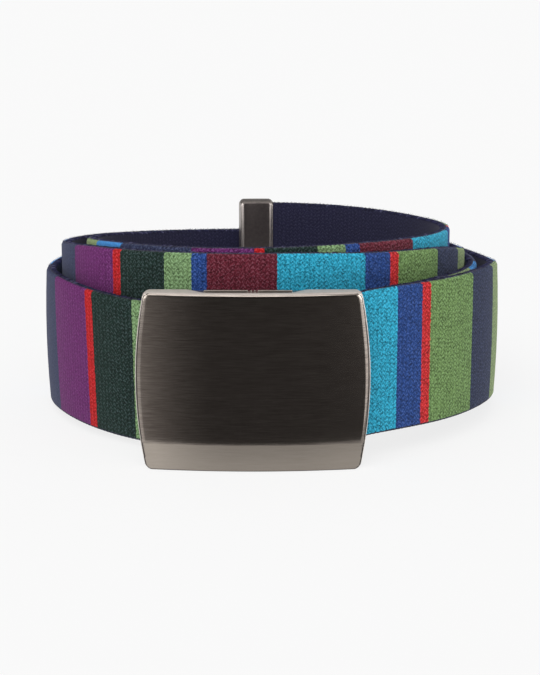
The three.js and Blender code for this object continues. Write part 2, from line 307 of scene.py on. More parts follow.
def striped_dye(tree, place, dyed_at):
    """The stripes' colour. The yarn wanders about 0.2 mm, which roughens the border between two colours."""
    wander = noise(tree, place, WANDER_SCALE, 1.0)
    shifted = math_node(tree, "MULTIPLY_ADD", math_node(tree, "SUBTRACT", wander, 0.5), WANDER_REACH, dyed_at)
    repeats = math_node(tree, "DIVIDE", math_node(tree, "SUBTRACT", shifted, STRIPE_START), STRIPE_REPEAT)
    share = math_node(tree, "FRACT", math_node(tree, "ADD", repeats, 2.0))
    ramp = put(tree, "ShaderNodeValToRGB", {"Fac": share})
    ramp.color_ramp.interpolation = "CONSTANT"
    total = sum(width for width, colour in STRIPES)
    start = 0.0
    for i, (width, colour) in enumerate(STRIPES):
        stops = ramp.color_ramp.elements
        stop = stops[i] if i < 2 else stops.new(start / total)
        stop.position = start / total
        stop.color = linear(colour)
        start += width
    return ramp.outputs["Color"]


def knitted_webbing():
    """Dyed polyester yarn knitted over elastic. Matt, a grain of small stitches, with painted shade that
    darkens the gaps and zigzag pale flecks of painted highlight where the yarn stands up, and a plain navy
    edge and back where the dyed face ends."""
    material, tree, shader = new_material("knitted_elastic_webbing")
    along, across = attribute(tree, "along"), attribute(tree, "across")
    outside = attribute(tree, "outside")
    loose = attribute(tree, "loose")
    place = put(tree, "ShaderNodeCombineXYZ", {"X": along, "Y": across, "Z": outside}).outputs[0]

    on_face = math_node(tree, "MULTIPLY", math_node(tree, "GREATER_THAN", outside, DYED_OUTSIDE),
                        math_node(tree, "GREATER_THAN", across, DYED_FROM))
    dyed = mix_colour(tree, on_face, INSIDE_COLOUR, striped_dye(tree, place, attribute(tree, "dyed_at")))

    # Stitches: upright columns of slanting legs, each column on its own phase, broken up by a grain
    cells = put(tree, "ShaderNodeTexVoronoi", {"Vector": place, "Scale": CELL_SCALE, "Randomness": 1.0})
    tone = put(tree, "ShaderNodeSeparateColor", {"Color": cells.outputs["Color"]}).outputs[0]
    grain = noise(tree, place, GRAIN_SCALE, 2.0, 0.7)
    drift = noise(tree, place, DRIFT_SCALE, 0.0)
    columns = math_node(tree, "MULTIPLY_ADD", drift, DRIFT_REACH,
                        math_node(tree, "DIVIDE", along, COLUMN_PITCH))
    slant = math_node(tree, "ABSOLUTE", math_node(tree, "SUBTRACT", math_node(tree, "FRACT", columns), 0.5))
    own = put(tree, "ShaderNodeTexWhiteNoise", {"W": math_node(tree, "FLOOR", columns)},
              noise_dimensions="1D")
    phase = math_node(tree, "MULTIPLY_ADD", slant, LEG_SLANT, math_node(tree, "DIVIDE", across, STITCH_PITCH))
    phase = math_node(tree, "ADD", math_node(tree, "ADD", phase, own.outputs["Value"]), grain)
    legs = math_node(tree, "SINE", math_node(tree, "MULTIPLY", phase, 2 * math.pi))
    ridge = math_node(tree, "SINE", math_node(tree, "MULTIPLY", columns, math.pi))
    ridge = math_node(tree, "ABSOLUTE", ridge)
    fine = noise(tree, place, FINE_SCALE, 1.0)
    relief = math_node(tree, "MULTIPLY_ADD", fine, FINE_RELIEF, grain)
    relief = math_node(tree, "MULTIPLY_ADD", legs, LEG_RELIEF, relief)
    relief = math_node(tree, "MULTIPLY_ADD", ridge, RIDGE_RELIEF, relief)

    # Painted shade makes the yarn a little darker down in the gaps, and a painted highlight makes it much
    # paler where it stands up. The cells add a random tone
    level = math_node(tree, "ADD", spread(tree, relief, LOW_RELIEF, HIGH_RELIEF, -0.5, 0.2),
                      spread(tree, tone, 0, 1, -0.3, 0.3))
    plain = math_node(tree, "MULTIPLY", loose, spread(tree, outside, 0, 1, 0.35, 1.0))
    level = math_node(tree, "MULTIPLY_ADD", level, plain, 1.0)
    pale = math_node(tree, "MULTIPLY", spread(tree, relief, PALE_RELIEF, HIGH_RELIEF, 0.0, 0.9), plain)
    highlight_colour = mix_colour(tree, 0.1, times(tree, dyed, 1.7), "a9b6c6")
    tree.links.new(mix_colour(tree, pale, times(tree, dyed, level), highlight_colour), shader.inputs["Base Color"])
    bumped(tree, shader, relief, math_node(tree, "MULTIPLY", plain, 0.6), 0.2)
    shader.inputs["Roughness"].default_value = 0.95
    shader.inputs["Specular IOR Level"].default_value = 0.12
    shader.inputs["Sheen Weight"].default_value = 0.06
    shader.inputs["Sheen Roughness"].default_value = 0.5
    return material


def edge_yarn():
    """Navy yarn of the selvage, spun from fine fibres. Each turn has its own tone, from near black to a
    greyed violet, so that the edge looks speckled."""
    material, tree, shader = new_material("spun_selvage_yarn")
    tone = attribute(tree, "tone")
    dark = mix_colour(tree, spread(tree, tone, 0.0, 0.8), "151425", "2a2a48")
    tree.links.new(mix_colour(tree, spread(tree, tone, 0.85, 1.0, 0.0, 0.7), dark, "626180"),
                   shader.inputs["Base Color"])
    shader.inputs["Roughness"].default_value = 0.9
    shader.inputs["Specular IOR Level"].default_value = 0.15
    return material


def brushed_metal(name, colour, dark, roughness, brush_length, brush_width, depth=0.3):
    """A plated sheet, brushed along X. The brush leaves fine level lines of this length and width, in
    millimetres, which draw a highlight out."""
    material, tree, shader = new_material(name)
    place = put(tree, "ShaderNodeTexCoord").outputs["Object"]
    size = (1 / (brush_length * MM), 1 / (BRUSH_DEPTH * MM), 1 / (brush_width * MM))
    stretched = put(tree, "ShaderNodeMapping", {"Vector": place, "Scale": size}).outputs[0]
    lines = noise(tree, stretched, 1.0, 3.0, 0.6)
    tone = mix_colour(tree, spread(tree, lines, 0.35, 0.65), dark, colour)
    tree.links.new(tone, shader.inputs["Base Color"])
    tree.links.new(spread(tree, lines, 0, 1, roughness * 1.2, roughness * 0.8), shader.inputs["Roughness"])
    bumped(tree, shader, lines, depth, 0.006)
    shader.inputs["Metallic"].default_value = 1.0
    return material


# ---- strap ----

def coil_value(column, turn):
    """A smooth curve through one column of the coil's table, the same as the CAD model's."""
    rows = COIL[:, TURN]
    values = COIL[:, column]
    before = np.maximum(np.arange(len(rows)) - 1, 0)
    after = np.minimum(np.arange(len(rows)) + 1, len(rows) - 1)
    slopes = (values[after] - values[before]) / (rows[after] - rows[before])
    row = np.clip(np.searchsorted(rows, turn, side="left") - 1, 0, len(rows) - 2)
    span = rows[row + 1] - rows[row]
    t = (turn - rows[row]) / span
    rise = t * t * (3 - 2 * t)
    leave = t * (1 - t) ** 2
    arrive = t * t * (1 - t)
    climb = (values[row + 1] - values[row]) * rise
    return values[row] + climb + span * (slopes[row] * leave - slopes[row + 1] * arrive)


def coil_point(turn):
    """The strap's outer face, seen from above."""
    angle = np.radians(turn)
    reach = coil_value(HALF_WIDTH, turn)
    return np.stack([reach * np.sin(angle), -COIL_DEPTH_RATIO * reach * np.cos(angle)], -1)


def coil_lengths():
    """(turns, length along the outer face up to each), in small steps."""
    turns = np.arange(STRAP_START, STRAP_END + FINE_TURN_STEP / 2, FINE_TURN_STEP)
    steps = np.linalg.norm(np.diff(coil_point(turns), axis=0), axis=1)
    return turns, np.concatenate([[0.0], np.cumsum(steps)])


def coil_stations(spacing):
    """(turn, length) of places that are evenly spaced along the strap."""
    turns, lengths = coil_lengths()
    count = int(round(lengths[-1] / spacing))
    even = np.linspace(0, lengths[-1], count + 1)
    return np.interp(even, lengths, turns), even


def tightness(turn):
    """1 at the coil's two ends, where the webbing bends most, and 0 away from them."""
    away = np.min([np.abs((turn - end + 180) % 360 - 180) for end in TIGHT_ENDS], axis=0)
    share = np.clip(1 - away / TIGHT_REACH_DEG, 0, 1)
    return share * share * (3 - 2 * share)


def texture_strength(turn):
    """How far the stitches stand out: less at the coil's ends, and least round the left one."""
    from_left = np.abs((turn - TIGHT_ENDS[1] + 180) % 360 - 180)
    return np.minimum(1 - LOOSE_LOSS * tightness(turn), np.interp(from_left, *TEXTURE_AT_LEFT))


def on_coil(turn, out, height):
    """Points of the bent strap: out from its outer face, and height above its bottom edge, in millimetres."""
    point = coil_point(turn)
    along = coil_point(turn + 0.5) - coil_point(turn - 0.5)
    along /= np.linalg.norm(along, axis=-1, keepdims=True)
    from_middle = height / STRAP_WIDTH - 0.5
    cupped = np.where(turn < 360, CUPPING, 0) * tightness(turn) * (2 * from_middle) ** 2
    reach = out + coil_value(FLARE, turn) * from_middle - cupped
    bottom = coil_value(TOP, turn) - STRAP_WIDTH
    return np.stack([point[..., 0] + along[..., 1] * reach, point[..., 1] - along[..., 0] * reach,
                     bottom + height], -1)


def frame_shift():
    """How far the CAD model lies from the coil's own middle, so that its box is centred."""
    turns = coil_lengths()[0]
    faces = np.concatenate([on_coil(turns, 0.0, height + 0 * turns) for height in (0, STRAP_WIDTH)])
    low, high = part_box("strap")
    middle = (Vector(faces.min(0)) + Vector(faces.max(0))) / 2
    return np.array([(low.x + high.x) / 2 / MM - middle.x, high.y / MM - faces[:, 1].max(), 0.0])


def strap_section():
    """The strap's section, as rows of (out, height, outside share, rim share)."""
    r = STRAP_EDGE_RADIUS
    corners = [math.radians(a) for a in CORNER_STEPS_DEG]
    heights = np.linspace(r, STRAP_WIDTH - r, FACE_POINTS + 2)[1:-1]
    rows = [(0.0, h, 1.0, 0.0) for h in heights]
    rows += [(r * math.cos(a) - r, STRAP_WIDTH - r + r * math.sin(a), 1.0, math.sin(a)) for a in corners]
    rows += [(r - STRAP_THICKNESS - r * math.sin(a), STRAP_WIDTH - r + r * math.cos(a), 0.0, math.cos(a))
             for a in corners]
    rows += [(-STRAP_THICKNESS, h, 0.0, 0.0) for h in heights[::-1]]
    rows += [(r - STRAP_THICKNESS - r * math.cos(a), r - r * math.sin(a), 0.0, math.sin(a)) for a in corners]
    rows += [(r * math.sin(a) - r, r - r * math.cos(a), 1.0, math.cos(a)) for a in corners]
    return np.array(rows)


def mesh_piece(name, points_mm, faces, smooth=True):
    mesh = bpy.data.meshes.new(name)
    mesh.from_pydata((np.asarray(points_mm) * MM).tolist(), [], faces)
    mesh.validate()
    mesh.update()
    piece = bpy.data.objects.new(name, mesh)
    bpy.context.scene.collection.objects.link(piece)
    if smooth:
        mesh.shade_smooth()
    return piece


def add_attribute(piece, name, values):
    attribute = piece.data.attributes.new(name, "FLOAT", "POINT")
    attribute.data.foreach_set("value", np.asarray(values, np.float32).ravel())


def make_webbing(shift):
    """The strap, with its columns of stitches as real ribs."""
    section = strap_section()
    turns, lengths = coil_stations(COLUMN_PITCH / STATIONS_PER_COLUMN)
    wave = np.cos(2 * np.pi * (lengths / COLUMN_PITCH - 0.5))[:, None]
    draws = np.random.default_rng(SEED)
    rim = section[None, :, 3]
    uneven = draws.normal(0, EDGE_UNEVENNESS, (len(turns), len(section)))
    out = section[None, :, 0] + 0 * wave
    sign = np.where(section[None, :, 2] > 0.5, 1.0, -BACK_RELIEF_SHARE)
    out = out + sign * (1 - rim) * COLUMN_RELIEF * (wave - 1) / 2
    height = section[None, :, 1] + 0 * wave
    upper = np.where(section[None, :, 1] > STRAP_WIDTH / 2, 1.0, -1.0)
    height = height + upper * rim * (EDGE_SERRATION * (wave - 1) / 2 - np.abs(uneven))
    turn_grid = np.repeat(turns[:, None], len(section), 1)
    points = on_coil(turn_grid, out, height) + shift

    around = len(section)
    count = len(turns)
    corner = (np.arange(count - 1)[:, None] * around + np.arange(around)[None, :]).ravel()
    beside = (np.arange(count - 1)[:, None] * around + (np.arange(around)[None, :] + 1) % around).ravel()
    faces = np.stack([corner, corner + around, beside + around, beside], -1).tolist()
    last = (count - 1) * around
    faces.append(list(range(around)))
    faces.append([last + i for i in reversed(range(around))])
    piece = mesh_piece("striped_webbing", points.reshape(-1, 3), faces)
    fix_normals(piece)
    add_attribute(piece, "along", np.repeat(lengths[:, None], around, 1))
    add_attribute(piece, "across", np.repeat(section[None, :, 1], count, 0))
    add_attribute(piece, "outside", np.repeat(section[None, :, 2], count, 0))
    dyed_at = lengths - np.interp(lengths, *STRIPE_SLIDE)
    add_attribute(piece, "loose", np.repeat(texture_strength(turns)[:, None], around, 1))
    add_attribute(piece, "dyed_at", np.repeat(dyed_at[:, None], around, 1))
    return piece


def fix_normals(piece):
    work = bmesh.new()
    work.from_mesh(piece.data)
    bmesh.ops.recalc_face_normals(work, faces=work.faces)
    work.to_mesh(piece.data)
    work.free()


# ---- buckle ----

def bow(x):
    return x * x / (2 * PLATE_CONVEX_RADIUS)


def plate_half_width(z, inset):
    """Half of the plate's width at each height, without its rounded corners and with them."""
    middle = PLATE_HEIGHT / 2
    straight = PLATE_CORNER_HALF_WIDTH - inset + PLATE_SIDE_BULGE * (1 - ((z - middle) / middle) ** 2)
    r = PLATE_CORNER_RADIUS
    from_end = np.minimum(z - inset, PLATE_HEIGHT - inset - z)
    past = np.clip(r - from_end, 0, r)
    return straight, straight - r + np.sqrt(r * r - past * past)


def plate_depth(x, z, inset, rolled):
    """Depth of the plate's face behind its front: the bow, the set-back foot band and the rolled edge."""
    reach = PLATE_FOOT_BAND - PLATE_FOOT_LEVEL
    depth = bow(x) + PLATE_FOOT_SET_BACK * np.clip((PLATE_FOOT_BAND - z) / reach, 0, 1)
    if not rolled:
        return depth
    r = PLATE_CORNER_RADIUS
    side = plate_half_width(z, inset)[0] - np.abs(x)
    end = np.minimum(z - inset, PLATE_HEIGHT - inset - z)
    in_corner = (side < r) & (end < r)
    edge = np.where(in_corner, r - np.hypot(np.maximum(r - side, 0), np.maximum(r - end, 0)),
                    np.minimum(side, end))
    roll = np.interp(z, *ROLL_AT_HEIGHT)
    left = np.clip(roll - edge, 0, roll)
    return depth + roll - np.sqrt(roll * roll - left * left)


def edge_steps(reach, count):
    """Places that crowd towards 0, as a rolled edge needs."""
    return reach * (1 - np.cos(np.linspace(0, math.pi / 2, count + 1)))


def plate_grid(inset, rolled):
    """Points of one face of the plate, as rows from foot to top."""
    near = edge_steps(ROLL_REACH, ROLL_STEPS)
    low, high = inset, PLATE_HEIGHT - inset
    below, above = PLATE_FOOT_BAND - CREASE_HALF, PLATE_FOOT_BAND + CREASE_HALF
    rows = np.concatenate([low + near, np.linspace(low + near[-1], below, FOOT_ROWS)[1:],
                           np.linspace(above, high - near[-1], FACE_ROWS)[:-1], high - near[::-1]])
    half = plate_half_width(rows, inset)[1]
    share = np.linspace(-1, 1, FACE_COLUMNS)[1:-1]
    x = np.concatenate([-half[:, None] + near[None, :], (half[:, None] - near[-1]) * share[None, :],
                        half[:, None] - near[None, ::-1]], 1)
    z = np.repeat(rows[:, None], x.shape[1], 1)
    return np.stack([x, plate_depth(x, z, inset, rolled), z], -1)


def rim_depth(x, z):
    """How deep the plate's turned-back walls are. The head wall is cut away in the middle."""
    middle, half = (CUTAWAY_LEFT + CUTAWAY_RIGHT) / 2, (CUTAWAY_RIGHT - CUTAWAY_LEFT) / 2
    inside = np.clip((half - np.abs(x - middle)) / CUTAWAY_SLOPE, 0, 1)
    inside = np.where(z > PLATE_HEIGHT - PLATE_THICKNESS - 0.01, inside * inside * (3 - 2 * inside), 0)
    cut = np.maximum(CUTAWAY_FRONT, bow(x) + CUTAWAY_WALL)
    return PLATE_DEPTH + inside * (cut - PLATE_DEPTH)


def rim_loop(rows, columns):
    """Indices round a grid's border."""
    foot = list(range(columns))
    right = [r * columns + columns - 1 for r in range(1, rows)]
    top = [(rows - 1) * columns + c for c in range(columns - 2, -1, -1)]
    left = [r * columns for r in range(rows - 2, 0, -1)]
    return foot + right + top + left


def make_cover(shift):
    """The plate: a pressed cover with a rolled edge, a rim that turns back, and its wall's thickness."""
    front = plate_grid(0.0, True)
    back = plate_grid(PLATE_THICKNESS, False)
    back[..., 1] += PLATE_THICKNESS
    rows, columns = front.shape[:2]
    loop = rim_loop(rows, columns)
    size = rows * columns
    outer = front.reshape(-1, 3)[loop].copy()
    outer[:, 1] = rim_depth(outer[:, 0], outer[:, 2])
    inner = back.reshape(-1, 3)[loop].copy()
    inner[:, 1] = np.maximum(rim_depth(inner[:, 0], inner[:, 2]), inner[:, 1] + LEAST_WALL)
    points = np.concatenate([front.reshape(-1, 3), back.reshape(-1, 3), outer, inner])
    faces = []
    for r in range(rows - 1):
        for c in range(columns - 1):
            a = r * columns + c
            quad = [a, a + 1, a + columns + 1, a + columns]
            faces.append(quad)
            faces.append([size + i for i in reversed(quad)])
    n = len(loop)
    for i in range(n):
        j = (i + 1) % n
        faces.append([loop[i], 2 * size + i, 2 * size + j, loop[j]])
        faces.append([2 * size + i, 2 * size + n + i, 2 * size + n + j, 2 * size + j])
        faces.append([2 * size + n + i, size + loop[i], size + loop[j], 2 * size + n + j])
    piece = mesh_piece("buckle_cover", points + shift + np.array([BUCKLE_X, BUCKLE_FRONT_Y, 0.0]), faces)
    work = bmesh.new()
    work.from_mesh(piece.data)
    bmesh.ops.remove_doubles(work, verts=work.verts, dist=COVER_MERGE * MM)
    bmesh.ops.recalc_face_normals(work, faces=work.faces)
    work.to_mesh(piece.data)
    work.free()
    piece.data.shade_smooth()
    piece.data.set_sharp_from_angle(angle=math.radians(COVER_SHARP_DEG))
    finish_cover(piece)
    return piece


def finish_cover(piece):
    """Gives the plate's walls a pale matt finish, painted light on the top wall and the upper roll, the
    rolled edge a dark line of painted shade, and the foot band its own finish.
    """
    for face in piece.data.polygons:
        ahead, up = abs(face.normal.y), face.normal.z
        at_foot = face.center.z < PLATE_FOOT_BAND * MM
        if ahead < RIM_AHEAD or up > RIM_UP:
            face.material_index = RIM
        elif ahead < (OUTLINE_AHEAD_AT_FOOT if at_foot else OUTLINE_AHEAD) and up < OUTLINE_UP:
            face.material_index = OUTLINE
        elif at_foot and face.normal.y < -FOOT_AHEAD:
            face.material_index = FOOT


def tip_section(margin):
    """The clip's section, as (out, height) round the strap's, larger by the margin on every side."""
    r = TIP_CORNER_RADIUS
    turns = np.radians(np.linspace(0, 90, TIP_CORNER_POINTS))
    left, right = -STRAP_THICKNESS - margin + r, margin - r
    low, high = r - margin, STRAP_WIDTH + margin - r
    corners = ((right, high, 0), (left, high, 1), (left, low, 2), (right, low, 3))
    arcs = []
    for out, height, quarter in corners:
        angles = turns + quarter * math.pi / 2
        arcs.append(np.stack([out + r * np.cos(angles), height + r * np.sin(angles)], -1))
    return np.concatenate(arcs)


def make_tip(shift):
    """The clip: a sleeve round the strap's end. Its two ends are rolled in and carry a pale painted
    highlight, and its top is darkened with painted shade.
    """
    length = np.linalg.norm(coil_point(TIP_END) - coil_point(TIP_START))
    near = edge_steps(TIP_ROLL, TIP_ROLL_STEPS)
    along = np.concatenate([near, np.linspace(TIP_ROLL, length - TIP_ROLL, 6)[1:-1], length - near[::-1]])
    to_end = np.minimum(np.minimum(along, length - along), TIP_ROLL)
    drop = TIP_ROLL - np.sqrt(TIP_ROLL ** 2 - (TIP_ROLL - to_end) ** 2)
    margins = np.maximum(TIP_MARGIN - drop, TIP_LEAST_MARGIN)
    rows = []
    for place, margin in zip(along, margins):
        out, height = tip_section(margin).T
        turn = TIP_START + (TIP_END - TIP_START) * place / length
        rows.append(on_coil(np.full(len(out), turn), out, height) + shift)
    points = np.array(rows)
    count, around = points.shape[:2]
    faces = []
    for start in range(0, (count - 1) * around, around):
        for i in range(around):
            j = (i + 1) % around
            faces.append([start + i, start + around + i, start + around + j, start + j])
    faces += [list(range(around)), [(count - 1) * around + i for i in reversed(range(around))]]
    piece = mesh_piece("tip_clip", points.reshape(-1, 3), faces)
    fix_normals(piece)
    # Faces turned up are darkened with painted shade, and faces turned to the ends get a pale painted
    # highlight
    for face in piece.data.polygons:
        if face.normal.z > TIP_TURNED:
            face.material_index = TIP_TOP
        elif abs(face.normal.x) > TIP_TURNED:
            face.material_index = TIP_EDGE
    piece.data.set_sharp_from_angle(angle=math.radians(TIP_SHARP_DEG))
    return piece


def plain_mesh(piece):
    """Turns a piece with modifiers into a plain mesh."""
    graph = bpy.context.evaluated_depsgraph_get()
    mesh = bpy.data.meshes.new_from_object(piece.evaluated_get(graph))
    piece.modifiers.clear()
    piece.data = mesh
    return piece


def finished_copy(node, name, bevel_mm):
    """A copy of a CAD solid with its edges broken, as a pressed or cast piece has them."""
    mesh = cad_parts[node].data.copy()
    mesh.materials.clear()
    work = bmesh.new()
    work.from_mesh(mesh)
    bmesh.ops.remove_doubles(work, verts=work.verts, dist=COPY_MERGE * MM)
    bmesh.ops.dissolve_limit(work, angle_limit=math.radians(COPY_FLAT_DEG), verts=work.verts,
                             edges=work.edges)
    work.to_mesh(mesh)
    work.free()
    piece = bpy.data.objects.new(name, mesh)
    bpy.context.scene.collection.objects.link(piece)
    bevel = piece.modifiers.new("broken_edge", "BEVEL")
    bevel.width = bevel_mm * MM
    bevel.segments = 3
    bevel.limit_method = "ANGLE"
    bevel.angle_limit = math.radians(BEVEL_FROM_DEG)
    plain_mesh(piece)
    piece.data.shade_smooth()
    piece.data.set_sharp_from_angle(angle=math.radians(COPY_SHARP_DEG))
    return piece


# ---- fuzz and selvage ----

def edge_path(name, turns, lengths, out, height, shift):
    """A line along one edge of the strap that carries its length."""
    points = on_coil(turns, out + 0 * turns, height + 0 * turns) + shift
    mesh = bpy.data.meshes.new(name)
    mesh.from_pydata((points * MM).tolist(), [(i, i + 1) for i in range(len(points) - 1)], [])
    piece = bpy.data.objects.new(name, mesh)
    bpy.context.scene.collection.objects.link(piece)
    add_attribute(piece, "along", lengths)
    return piece


def tree_with_inputs(name, sizes):
    tree = bpy.data.node_groups.new(name, "GeometryNodeTree")
    tree.interface.new_socket("Geometry", in_out="INPUT", socket_type="NodeSocketGeometry")
    tree.interface.new_socket("Geometry", in_out="OUTPUT", socket_type="NodeSocketGeometry")
    for label, value in sizes.items():
        kind = "NodeSocketInt" if isinstance(value, int) else "NodeSocketFloat"
        tree.interface.new_socket(label, in_out="INPUT", socket_type=kind)
    return tree


def grow(piece, tree, sizes):
    """Runs a tree on a piece and keeps the result as a plain mesh."""
    modifier = piece.modifiers.new(tree.name, "NODES")
    modifier.node_group = tree
    for item in tree.interface.items_tree:
        if item.item_type == "SOCKET" and item.in_out == "INPUT" and item.name in sizes:
            modifier[item.identifier] = sizes[item.name]
    return plain_mesh(piece)


def evenly_spaced(tree, given):
    """The line that a tree is given, with a point at each pitch."""
    line = put(tree, "GeometryNodeMeshToCurve", {0: given["Geometry"]}).outputs[0]
    sizes = {"Curve": line, "Length": given["Pitch"]}
    return put(tree, "GeometryNodeResampleCurve", sizes, mode="LENGTH").outputs[0]


def chance(tree, low, high, seed):
    """A random number between two numbers, or a random vector between two vectors."""
    if isinstance(low, tuple):
        sizes, kind, output = {0: low, 1: high, "Seed": seed}, "FLOAT_VECTOR", 0
    else:
        sizes, kind, output = {2: low, 3: high, "Seed": seed}, "FLOAT", 1
    return put(tree, "FunctionNodeRandomValue", sizes, data_type=kind).outputs[output]


def selvage_tree(sizes, material):
    """Turns of yarn that go over the strap's edge from one face to the other, each with its own tone."""
    tree = tree_with_inputs("selvage_turns", sizes)
    given = put(tree, "NodeGroupInput").outputs
    even = evenly_spaced(tree, given)
    tangent = put(tree, "GeometryNodeInputTangent").outputs[0]
    turned = put(tree, "FunctionNodeAlignRotationToVector", {"Vector": tangent}, axis="X", pivot_axis="Z")
    seed = given["Seed"]
    tilt = chance(tree, -SELVAGE_LEAN, SELVAGE_LEAN, seed)
    lean = put(tree, "ShaderNodeCombineXYZ", {"Z": tilt}).outputs[0]
    leaned = put(tree, "FunctionNodeRotateRotation", {"Rotation": turned.outputs[0], "Rotate By": lean},
                 rotation_space="LOCAL")
    arc = put(tree, "GeometryNodeCurveArc",
              {"Resolution": 6, "Radius": given["Radius"], "Sweep Angle": math.pi})
    low = put(tree, "ShaderNodeCombineXYZ", {"X": 1.0, "Y": given["Flatness"], "Z": 1.0}).outputs[0]
    over = put(tree, "GeometryNodeTransform", {"Geometry": arc.outputs[0], "Scale": low,
                                               "Rotation": (math.pi / 2, 0, math.pi / 2)})
    ring = put(tree, "GeometryNodeCurvePrimitiveCircle", {"Resolution": 4, "Radius": given["Yarn"]})
    loop = put(tree, "GeometryNodeCurveToMesh", {"Curve": over.outputs[0], "Profile Curve": ring.outputs[0]})
    placed = put(tree, "GeometryNodeInstanceOnPoints", {
        "Points": even, "Instance": loop.outputs[0], "Rotation": leaned.outputs[0],
        "Scale": chance(tree, *SELVAGE_SIZES, seed)})
    return keep_tone(tree, placed.outputs[0], seed, 0.0, material)


def fibre_tree(sizes, material):
    """Short stray fibres that stand up from a line along the strap's edge."""
    tree = tree_with_inputs("stray_fibres", sizes)
    given = put(tree, "NodeGroupInput").outputs
    even = evenly_spaced(tree, given)
    seed = given["Seed"]
    half = math_node(tree, "MULTIPLY", given["Length"], 0.5)
    quarter = math_node(tree, "MULTIPLY", half, 0.5)
    middle = put(tree, "ShaderNodeCombineXYZ", {"X": quarter, "Z": half}).outputs[0]
    top = put(tree, "ShaderNodeCombineXYZ", {"Z": given["Length"]}).outputs[0]
    bent = put(tree, "GeometryNodeCurveQuadraticBezier",
               {"Resolution": 3, "Start": (0, 0, 0), "Middle": middle, "End": top})
    ring = put(tree, "GeometryNodeCurvePrimitiveCircle", {"Resolution": 3, "Radius": given["Thickness"]})
    fibre = put(tree, "GeometryNodeCurveToMesh", {"Curve": bent.outputs[0], "Profile Curve": ring.outputs[0]})
    placed = put(tree, "GeometryNodeInstanceOnPoints", {
        "Points": even, "Instance": fibre.outputs[0], "Rotation": chance(tree, *FIBRE_LEANS, seed),
        "Scale": chance(tree, *FIBRE_SIZES, seed)})
    return keep_tone(tree, placed.outputs[0], seed, FIBRE_DARKEST, material)


def keep_tone(tree, instances, seed, darkest, material):
    """Gives each instance a tone up to 1, makes them real and sets their material."""
    tone = chance(tree, darkest, 1.0, math_node(tree, "ADD", seed, TONE_SEED_STEP))
    stored = put(tree, "GeometryNodeStoreNamedAttribute",
                 {"Geometry": instances, "Name": "tone", "Value": tone}, data_type="FLOAT", domain="INSTANCE")
    real = put(tree, "GeometryNodeRealizeInstances", {0: stored.outputs[0]})
    dressed = put(tree, "GeometryNodeSetMaterial", {"Geometry": real.outputs[0], "Material": material})
    put(tree, "NodeGroupOutput", {0: dressed.outputs[0]})
    return tree


def in_metres(sizes, plain=("Flatness", "Seed")):
    return {name: value if name in plain else value * MM for name, value in sizes.items()}


def make_edges(shift, material):
    """Selvage and stray fibres along the strap's upper and lower edge."""
    turns, lengths = coil_stations(COLUMN_PITCH)
    selvage, fibres = selvage_tree(SELVAGE, material), fibre_tree(FIBRES, material)
    pieces = []
    for name, height, flip in (("upper", STRAP_WIDTH - SELVAGE_INSET, 1), ("lower", SELVAGE_INSET, -1)):
        piece = edge_path(name + "_selvage", turns, lengths, -SELVAGE_MIDDLE, height, shift)
        sizes = in_metres(SELVAGE)
        sizes["Flatness"] *= flip
        pieces.append(grow(piece, selvage, sizes))
    for name, out in (("outer", -FIBRE_INSET), ("inner", FIBRE_INSET - STRAP_THICKNESS)):
        piece = edge_path(name + "_fibres", turns, lengths, out, STRAP_WIDTH - FIBRE_DROP, shift)
        pieces.append(grow(piece, fibres, in_metres(FIBRES)))
    for piece in pieces:
        piece.data.shade_smooth()
        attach(piece, BODY)


def place_piece(piece, node, materials):
    """Gives a piece its materials, and lets it stand for a CAD solid."""
    for material in materials:
        piece.data.materials.append(material)
    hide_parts(node)
    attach(piece, BODY)


def main():
    shift = frame_shift()

    webbing = make_webbing(shift)
    place_piece(webbing, "strap", [knitted_webbing()])

    # Dark plating over pressed steel. The brushed face mirrors the room in level streaks. The walls are matt
    # and painted pale as painted light on the top wall and the upper roll. A dark line of painted shade runs
    # where they meet, and the foot has a satin sheen
    cover = make_cover(shift)
    place_piece(cover, "buckle_plate", [
        brushed_metal("brushed_gunmetal_plate", "8e867f", "6a625c", 0.15, 5.0, 0.11),
        brushed_metal("painted_light_gunmetal_rim", "c8c0b9", "bab2ab", 0.5, 2.0, 0.5, 0.1),
        brushed_metal("painted_shade_gunmetal_outline", "3a3633", "2f2b29", 0.4, 2.0, 0.5, 0.1),
        brushed_metal("satin_gunmetal_foot", "918981", "8b837a", 0.2, 5.0, 0.11, 0.1)])

    # The clip's flat face is polished dark, its bent top is duller and darkened with painted shade, and its
    # rolled ends carry a pale painted highlight
    tip = make_tip(shift)
    place_piece(tip, "strap_tip", [
        brushed_metal("polished_gunmetal_tip", "716866", "655e5c", 0.34, 1.0, 1.0, 0.1),
        brushed_metal("painted_shade_gunmetal_tip_top", "635d5a", "5a5552", 0.6, 1.0, 1.0, 0.1),
        brushed_metal("painted_highlight_gunmetal_tip_edge", "9a938f", "8f8884", 0.4, 1.0, 1.0, 0.1)])

    # Satin nickel gives the hidden works a soft grey shine
    nickel = brushed_metal("satin_nickel_plate", "9c938b", "857d76", 0.34, 3.0, 0.2)
    for node, name, bevel in BROKEN_EDGES:
        place_piece(finished_copy(node, name, bevel), node, [nickel])

    make_edges(shift, edge_yarn())

    make_studio()


# ---- studio ----

